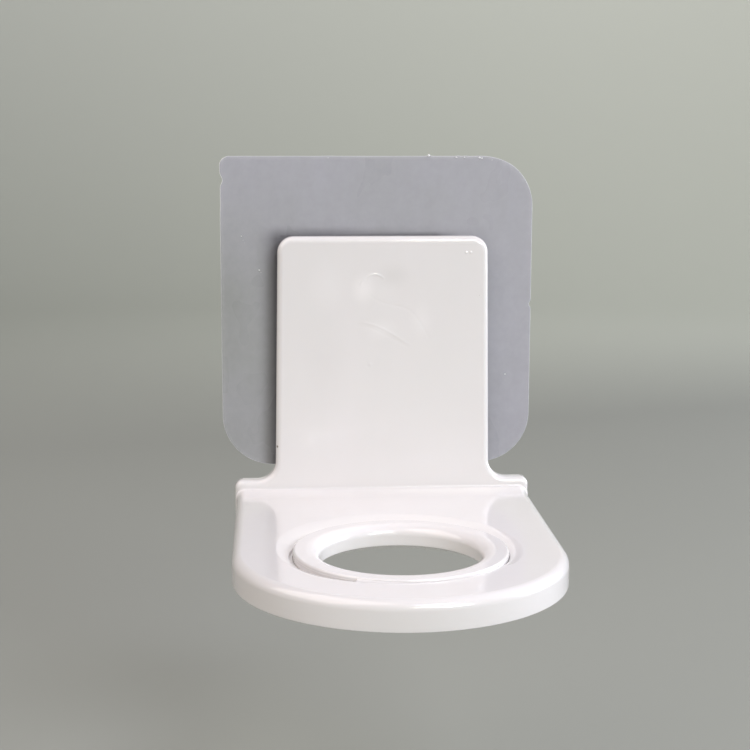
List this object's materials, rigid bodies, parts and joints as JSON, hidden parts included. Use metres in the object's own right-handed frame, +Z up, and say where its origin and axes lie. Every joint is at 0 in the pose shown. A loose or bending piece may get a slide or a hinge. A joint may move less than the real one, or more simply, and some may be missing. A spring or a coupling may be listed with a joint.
{
  "type": "shower gel holder",
  "caption": "Adhesive wall bracket whose flat shelf carries a twist-in ring that holds a pump bottle by its neck, so that the bottle hangs below.",
  "frame": {"origin": "on the wall plane, level with the centre of the adhesive film, on the bracket's plane of symmetry", "axes": "+Z up, -Y out from the wall, +X to the right as seen from the room"},
  "size_m": [0.07, 0.0874, 0.0811],
  "materials": {
    "white_abs": "glossy injection-moulded white plastic with faint flow marks",
    "ring_abs": "glossy white plastic, round lips",
    "clear_film": "clear soft plastic film, slightly grey, with trapped specks",
    "clear_gel": "clear tacky gel",
    "bond_tape": "white foam bonding tape"
  },
  "bodies": {
    "holder": {"bracket": "white_abs", "bond_pad": "bond_tape", "film": "clear_film", "gel_layer": "clear_gel"},
    "ring": {"insert_ring": "ring_abs"}
  },
  "joints": [
    {"name": "ring_twist", "type": "hinge", "parent": "holder", "child": "ring", "pos_m": [0, -0.0554, -0.04035], "axis": [0, 0, 1], "range_deg": [0, 60]}
  ]
}
